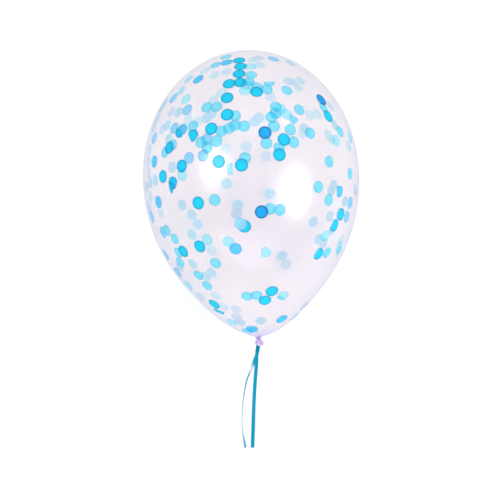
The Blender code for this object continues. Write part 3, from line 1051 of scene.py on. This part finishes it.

# %% [markdown]
# ## Confetti
# The confetti is round discs of tissue paper, about 17 mm across, that cling to the film by static.
# Where each one clings was read from the photograph, as the pixel of its middle, and a sight line
# from the camera through that pixel finds the place on the film: first on the near wall, and then,
# for the pale discs that show through the haze, on the far wall.  Opaque papers hide what is behind
# them, and thin ones let it through.

# %% Discs on the near wall
NEAR_WALL = {
    "deep_blue": (
        (321.5, 99.5), (265, 132.5), (261.5, 212),
    ),
    "azure": (
        (171, 188.5), (180, 131.5), (169, 147.5), (181.5, 166), (162.5, 176.5), (172.5, 183),
    ),
    "cyan": (
        (239, 60), (240.5, 66), (239, 73.5), (240, 82), (229, 83.5), (227, 97.5), (227, 114.5),
        (211, 128.5), (192.5, 135.5), (256.5, 91.5), (328.5, 116), (284, 139.5), (279.5, 154.5), (198, 203),
        (218.5, 161.5), (241.5, 165), (244.5, 226.5), (341, 214.5), (334.5, 225.5), (183, 251.5),
        (199.5, 246.5), (214, 304.5), (218.5, 311.5), (265, 300.5), (272, 291.5), (318.5, 254),
    ),
    "pale_blue": (
        (240.5, 224),
    ),
    "sky_blue": (
        (226.5, 62), (198, 79), (182, 129.5), (339.5, 191), (154, 161.5), (158, 202), (235.5, 249),
        (252, 329.5), (282, 319.5),
    ),
    "aqua": (
        (281.5, 298), (226, 56.5), (215.5, 64.5), (206.5, 107), (216.5, 106.5), (235, 115.5), (235, 125),
        (229, 128), (244, 126), (221, 131), (216.5, 141), (192.5, 126), (164.5, 152), (172.5, 145),
        (279.5, 147), (207, 147.5), (200.5, 142), (251, 74.5), (249, 81.5), (257, 86.5), (269, 82),
        (267, 89), (287, 90), (299.5, 109.5), (324, 107.5), (276, 106.5), (275.5, 113), (271.5, 117),
        (295, 119.5), (274, 126), (266.5, 143), (290.5, 129.5), (294, 142), (310.5, 133), (340.5, 131.5),
        (214.5, 200), (245, 158), (166.5, 230.5), (174.5, 239), (270, 209), (280, 210), (329.5, 161.5),
        (350.5, 173.5), (318.5, 187), (329, 200), (178, 253), (180, 262.5), (215.5, 263.5), (198, 275.5),
        (207, 286), (247.5, 331.5), (247, 296.5), (256.5, 295.5), (327, 253),
    ),
    "periwinkle": (
        (154, 138), (151.5, 217), (350.5, 203), (347, 217), (177.5, 272.5), (165.5, 255), (173, 98),
        (187, 109.5), (174, 128), (206.5, 139), (273.5, 58.5), (188.5, 158), (203, 155.5), (162.5, 232.5),
    ),
    "ice": (
        (185.5, 99), (245, 90), (230.5, 169), (207, 240), (228.5, 242), (339.5, 247.5), (265.5, 252.5),
        (188, 285.5), (231.5, 322.5), (283, 296), (350.5, 137.5), (250, 66), (246.5, 84.5), (286.5, 114),
        (280.5, 108.5), (336.5, 140.5), (182, 175), (325.5, 236),
    ),
}
print("near wall", {paper: len(pixels) for paper, pixels in NEAR_WALL.items()})

# %% Discs on the far wall
# The far wall's papers are painted lighter than the near ones: painted light.
FAR_WALL = {
    "bright_sky": (
        (178.5, 112), (207, 117.5), (259, 117.5), (304.5, 128.5), (172, 167), (150, 182.5), (182, 205),
        (191.5, 214.5), (334, 185.5), (313.5, 222), (330, 216.5), (339, 251), (323.5, 243.5), (179, 267),
        (240, 322.5), (261, 321), (282, 256),
    ),
    "bright_aqua": (
        (181, 90.5), (188.5, 79), (211.5, 113.5), (167, 125.5), (254.5, 121.5), (335, 125), (155, 180),
        (197.5, 224.5), (192, 234.5), (226.5, 183.5), (238, 205.5), (270, 193.5), (331.5, 190.5),
        (345, 201.5), (319, 239), (332.5, 229.5), (192.5, 264), (211.5, 273), (205.5, 276.5), (168.5, 139),
    ),
    "lavender": (
        (258.5, 57.5), (290.5, 63), (288, 81), (330.5, 106), (266, 156), (236, 309.5), (286, 265),
        (294.5, 317), (304.5, 306), (149, 206), (200.5, 296.5), (355.5, 190), (226.5, 71.5), (270.5, 96.5),
        (236.5, 214), (171, 112), (162, 129), (146.5, 187), (236.5, 317), (149.5, 150), (148, 161),
        (148.5, 173), (157, 119), (161, 108.5), (153.5, 128),
    ),
    "bright_ice": (
        (246, 146.5), (225.5, 148.5), (253.5, 59.5), (293, 81.5), (349, 146), (341, 240.5), (216, 296),
        (223, 306.5), (160.5, 213), (150, 196.5), (164.5, 103.5), (221.5, 92.5), (214.5, 74.5),
        (303, 133.5), (298, 87), (310, 115), (317.5, 114), (328, 134.5), (188, 119), (198, 121),
        (213.5, 99.5), (259.5, 65), (211.5, 250.5), (332, 139.5), (205, 70.5), (301, 80.5),
    ),
}
print("far wall", {paper: len(pixels) for paper, pixels in FAR_WALL.items()})

# %% Discs on top, and folded discs
# Discs of the near wall that lie on top of the ones they overlap.
ON_TOP = ((284, 139.5), (279.5, 154.5), (265, 300.5), (240.5, 224), (256.5, 91.5))
# Folded discs, each with its creases: a direction in degrees, clockwise from the right as the
# photograph shows it, and the crease's distance from the middle as a share of the radius.
FOLDED = {
    (192.5, 135.5): ((150, 0.62), (35, 0.85)),
    (180, 131.5): ((-45, 0.05),),
    (172.5, 183): ((35, 0.85), (150, 0.82)),
    (171, 188.5): ((10, 0.40), (170, 0.40), (50, 0.62), (130, 0.62)),
    (279.5, 147): ((-60, 0.50),),
    (269, 82): ((-90, 0.15),),
    (218.5, 311.5): ((-60, 0.35), (120, 0.45)),
    (295, 119.5): ((-50, 0.50), (50, 0.50)),
    (230.5, 169): ((0, 0.35), (180, 0.60)),
    (339.5, 191): ((180, 0.60), (-90, 0.80)),
    (334.5, 225.5): ((200, 0.65),),
    (265.5, 252.5): ((190, 0.70), (-45, 0.80)),
    (318.5, 254): ((200, 0.65),),
    (281.5, 298): ((-60, 0.12), (120, 0.28)),
}
print("on top", len(ON_TOP), "painted_fold_shade", len(FOLDED))

# %% Follow the sight lines to the film
PHOTO_PIXELS = 500
SIGHT_STARTS = 0.75
SIGHT_ENDS = 1.15
SIGHT_STEPS = 4000


def seen_on_film(pixels, far):
    """Own-frame points where sight lines through pixels of the photograph meet the film.

    A sight line is camera + t * line, and t = 1 lies in the plane of the picture's centre.  It is
    inside the balloon where its distance from the axis is less than the outline's radius at that
    height.  The near wall is where it first gets inside, the far wall is where it leaves, and a line
    that just misses takes its closest point.
    """
    across, down = (np.array(pixels) / PHOTO_PIXELS - 0.5).T * PICTURE_SIDE
    lines = across[:, None] * right - down[:, None] * up - CAMERA_DISTANCE * back
    t = np.linspace(SIGHT_STARTS, SIGHT_ENDS, SIGHT_STEPS)
    own = stood_up(CAMERA_PLACE + t[:, None] * lines[:, None])
    outline = np.interp(own[..., 2], fine_height[::-1], fine_radius[::-1], left=0, right=0)
    outside = np.hypot(own[..., 0], own[..., 1]) - outline
    if far:
        outside, own = outside[:, ::-1], own[:, ::-1]
    first = np.where((outside < 0).any(axis=1), np.argmax(outside < 0, axis=1), np.argmin(outside, axis=1))
    return own[np.arange(len(own)), first]


all_places, all_papers, all_pixels = [], [], []
for wall, far in ((NEAR_WALL, False), (FAR_WALL, True)):
    for paper, pixels in wall.items():
        all_places.extend(seen_on_film(pixels, far))
        all_papers += [paper] * len(pixels)
        all_pixels += pixels
on_top_first = np.argsort([pixel not in ON_TOP for pixel in all_pixels], kind="stable")
all_places, all_papers = (np.array(values)[on_top_first] for values in (all_places, all_papers))
all_pixels = [all_pixels[i] for i in on_top_first]
print(len(all_pixels), "discs")

# %% Wrap the discs on the film
# A disc bends with the film, so it is drawn flat, as run down the outline and distance round it, and
# then wrapped on the film.  Discs that overlap lie in layers.
DISC_COLUMNS = 18
INNER_RING = 0.6
OVERLAP_SOFTNESS = 0.0015
DISC_THICKNESS = 0.00006
FIRST_LAYER = 0.00025
LAYER_STEP = 0.00013
LAYER_MARGIN = 1.05
SLOPE_STEP = 0.0004

outline_run = np.concatenate(([0], np.cumsum(np.hypot(np.diff(fine_radius), np.diff(fine_height)))))


def outline_at(run):
    """Radius and height of the body at a run down its outline."""
    return np.interp(run, outline_run, fine_radius), np.interp(run, outline_run, fine_height)


def on_film(turn, run, depth):
    """Floor-frame points at a turn and a run down the outline, a depth inside the film.

    The film's normal there is (cos(slope) outwards, sin(slope) up) with the slope read from the
    outline; the point is settled on the floor first and then moved in along the normal.
    """
    radius, height = outline_at(run)
    before, after = outline_at(run - SLOPE_STEP), outline_at(run + SLOPE_STEP)
    slope = np.arctan2(after[0] - before[0], before[1] - after[1])
    out = round_axis(np.cos(slope), turn, np.sin(slope))
    point = laid_down(round_axis(radius, turn, height))
    return settled_on_floor(point) - turned_down(out) * depth[..., None]


def layers(places, radii):
    """The lowest free layer for each disc, counted from the film, where an overlap takes the next."""
    taken = np.full(len(places), -1)
    for i in range(len(places)):
        near = np.linalg.norm(places[:i] - places[i], axis=1) < LAYER_MARGIN * (radii[:i] + radii[i])
        used = set(taken[:i][near].tolist())
        taken[i] = min(set(range(len(places))) - used)
    return taken


all_turns = np.arctan2(all_places[:, 0], -all_places[:, 1])
all_runs = np.interp(-all_places[:, 2], -fine_height, outline_run)
middles = on_film(all_turns, all_runs, np.zeros(len(all_places)))
all_covers, all_radii = np.array([PAPERS[paper][2:] for paper in all_papers]).T
all_layers = layers(middles, all_radii)
print("layers", np.bincount(all_layers).tolist())

# %% Make the discs
CHANCE_SEED = 7
LEAST_FACING = 1e-6

chance = np.random.default_rng(CHANCE_SEED)
all_shades = chance.random(len(all_places))
all_spins = chance.random(len(all_places)) * 2 * math.pi
disc_turn = full_turn(DISC_COLUMNS)


def outline_share(angles, creases):
    """How far a folded disc reaches in each direction: the circle, cut off at its creases.

    A crease in direction n at distance d lets a direction a reach d / cos(a - n).
    """
    share = np.ones_like(angles)
    for direction, away in creases:
        facing = np.cos(angles - math.radians(direction))
        reach = away / np.maximum(facing, LEAST_FACING)
        share = np.where(facing > away, np.minimum(share, reach), share)
    return share


def disc_points(i, reach, depth):
    """One ring of disc i: reach from its middle as a share of the radius, depth inside the film.

    A disc's point is (d cos(a), d sin(a)) round its middle.  Round the film that stands for a turn
    of d cos(a) / radius, and down the film for a run of d sin(a).
    """
    a = disc_turn + all_spins[i]
    d = all_radii[i] * reach * outline_share(a, FOLDED.get(all_pixels[i], ()))
    radius, _ = outline_at(all_runs[i])
    depths = np.full(DISC_COLUMNS, FIRST_LAYER + LAYER_STEP * all_layers[i] + depth)
    return on_film(all_turns[i] + d * np.cos(a) / radius, all_runs[i] + d * np.sin(a), depths)


def disc_skin(i):
    """Disc i as a closed thin skin with its UV: 0.5 from the UV's middle at the edge."""
    half = DISC_THICKNESS / 2
    rings = np.stack([disc_points(i, reach, depth) for reach, depth in
                      ((INNER_RING, -half), (1, -half), (1, half))])
    edge_uv = grid_of(np.cos(disc_turn), np.sin(disc_turn)) / 2
    uv = 0.5 + np.stack((edge_uv * INNER_RING, edge_uv, edge_uv))
    points, faces, flat_uv = closed_surface(rings, uv)
    points[-2] = disc_points(i, 0, -half)[0]
    points[-1] = disc_points(i, 0, half)[0]
    return points, faces, flat_uv


def overlap_at(points, i):
    """How much paper of other discs lies over or under each point of disc i, with soft edges."""
    away = np.linalg.norm(points[:, None] - middles[None], axis=-1)
    covered = np.clip((all_radii - away) / OVERLAP_SOFTNESS + 0.5, 0, 1) * all_covers
    covered[:, i] = 0
    return covered.sum(axis=1)


def confetti_piece(paper):
    """All discs of one paper as one piece, with each disc's shade and overlaps kept on its points."""
    chosen = np.flatnonzero(all_papers == paper)
    skins = [disc_skin(i) for i in chosen]
    piece = new_piece(f"confetti_{paper}", skins, paper_finishes[paper])
    shades = np.repeat(all_shades[chosen], len(skins[0][0]))
    overlaps = np.concatenate([overlap_at(skin[0], i) for skin, i in zip(skins, chosen)])
    kept_on_points(piece, "shade", shades)
    # Overlaps, which the finish turns into painted shade.
    kept_on_points(piece, "overlap", overlaps)


for paper in PAPERS:
    confetti_piece(paper)
